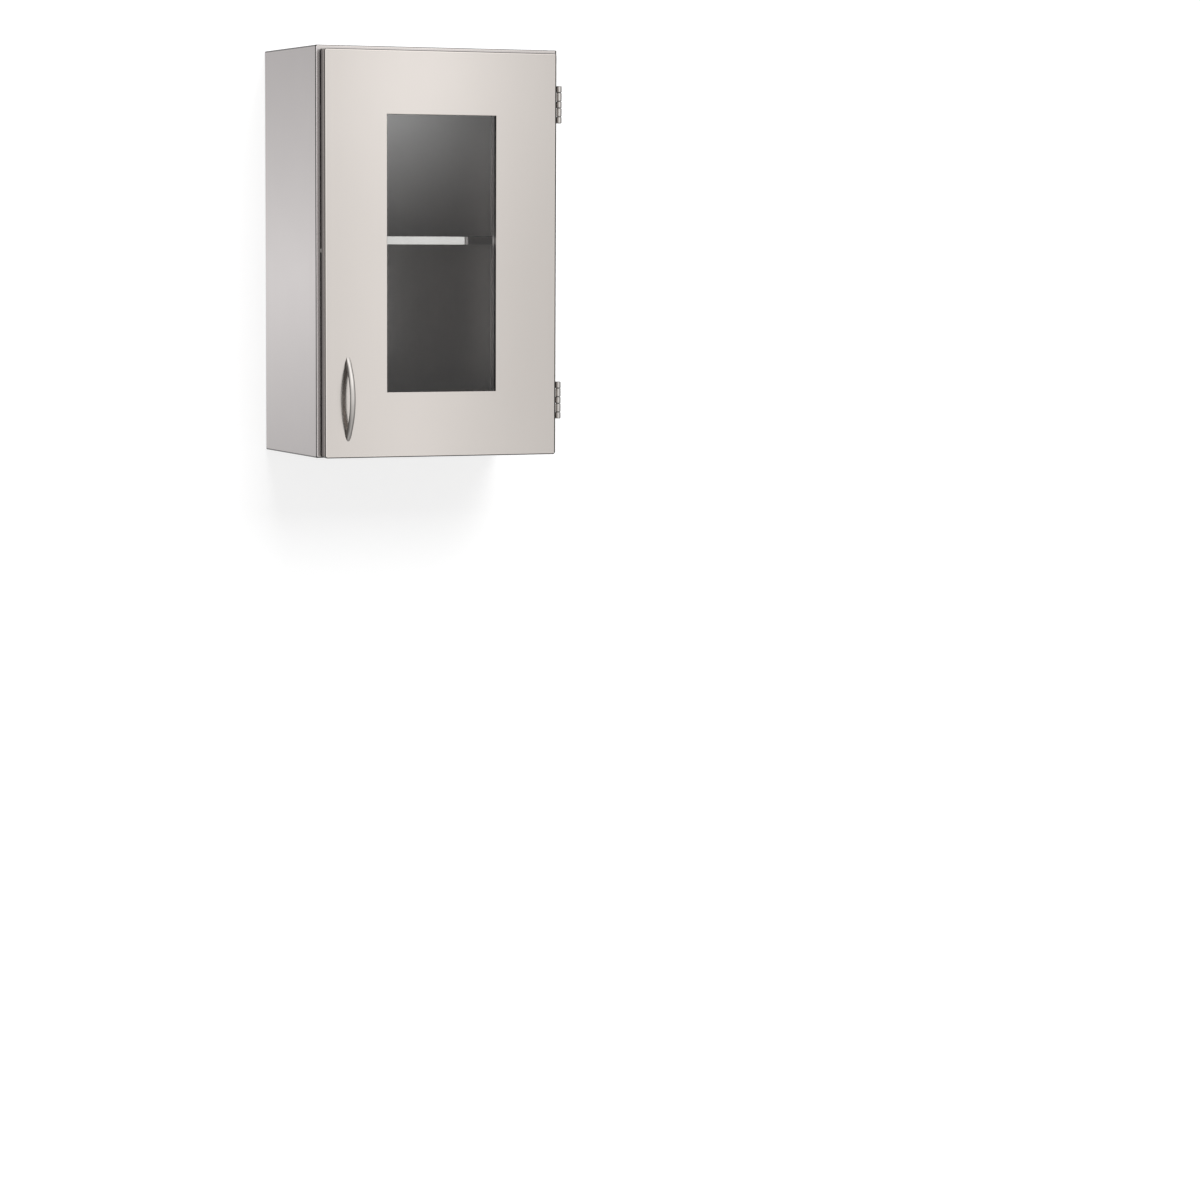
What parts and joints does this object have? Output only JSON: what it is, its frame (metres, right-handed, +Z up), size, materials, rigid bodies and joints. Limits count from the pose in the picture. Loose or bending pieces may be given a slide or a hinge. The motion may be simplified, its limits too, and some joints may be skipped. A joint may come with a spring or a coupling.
{
  "type": "upper cabinet",
  "caption": "Wall-hung stainless steel upper cabinet with a right-hinged glazed door, bow handle, projecting knuckle hinges, magnetic catch and an adjustable shelf.",
  "frame": {"origin": "centre of the wall-fixing hole pattern, on the wall plane at the cabinet's back", "axes": "+Z up, +Y into the wall, +X to the right as seen from the front"},
  "size_m": [0.488, 0.3535, 0.762],
  "materials": {
    "stainless_steel": "satin, fine grain",
    "door_steel": "semi-polished",
    "shelf_steel": "semi-polished",
    "handle_steel": "satin",
    "hinge_steel": "satin",
    "hardware_steel": "mill",
    "fastener_steel": "bright",
    "clear_glass": "clear float",
    "gasket_rubber": "matte",
    "bumper_rubber": "matte",
    "catch_plastic": "matte",
    "ferrite_magnet": "sintered"
  },
  "bodies": {
    "cabinet": {"left_side_panel": "stainless_steel", "right_side_panel": "stainless_steel", "top_panel": "stainless_steel", "bottom_panel": "stainless_steel", "back_panel": "stainless_steel", "upper_hanging_rail": "hardware_steel", "lower_hanging_rail": "hardware_steel", "standard_left_front": "hardware_steel", "standard_left_rear": "hardware_steel", "standard_right_front": "hardware_steel", "standard_right_rear": "hardware_steel", "shelf_clips": "hardware_steel", "upper_hinge_body_leaf": "hinge_steel", "lower_hinge_body_leaf": "hinge_steel", "upper_hinge_pin": "hinge_steel", "lower_hinge_pin": "hinge_steel", "body_hinge_screws": "fastener_steel", "body_hinge_backing_plates": "hardware_steel", "catch_housing": "catch_plastic", "catch_magnet": "ferrite_magnet", "catch_pole_plates": "hardware_steel", "catch_screws": "fastener_steel", "door_bumper": "bumper_rubber"},
    "door": {"door_outer_panel": "door_steel", "door_inner_panel": "door_steel", "glass_pane": "clear_glass", "glazing_gasket": "gasket_rubber", "handle": "handle_steel", "handle_screws": "fastener_steel", "upper_hinge_door_leaf": "hinge_steel", "lower_hinge_door_leaf": "hinge_steel", "door_hinge_screws": "fastener_steel", "door_hinge_backing_plates": "hardware_steel", "strike_plate": "hardware_steel", "strike_screws": "fastener_steel"},
    "shelf": {"shelf": "shelf_steel"}
  },
  "joints": [
    {"name": "door_hinge", "type": "hinge", "parent": "cabinet", "child": "door", "pos_m": [0.2427, -0.3053, 0], "axis": [0, 0, 1], "range_deg": [0, 180]},
    {"name": "shelf_lift", "type": "slide", "parent": "cabinet", "child": "shelf", "axis": [0, 0, 1], "range_m": [0, 0.025]}
  ]
}
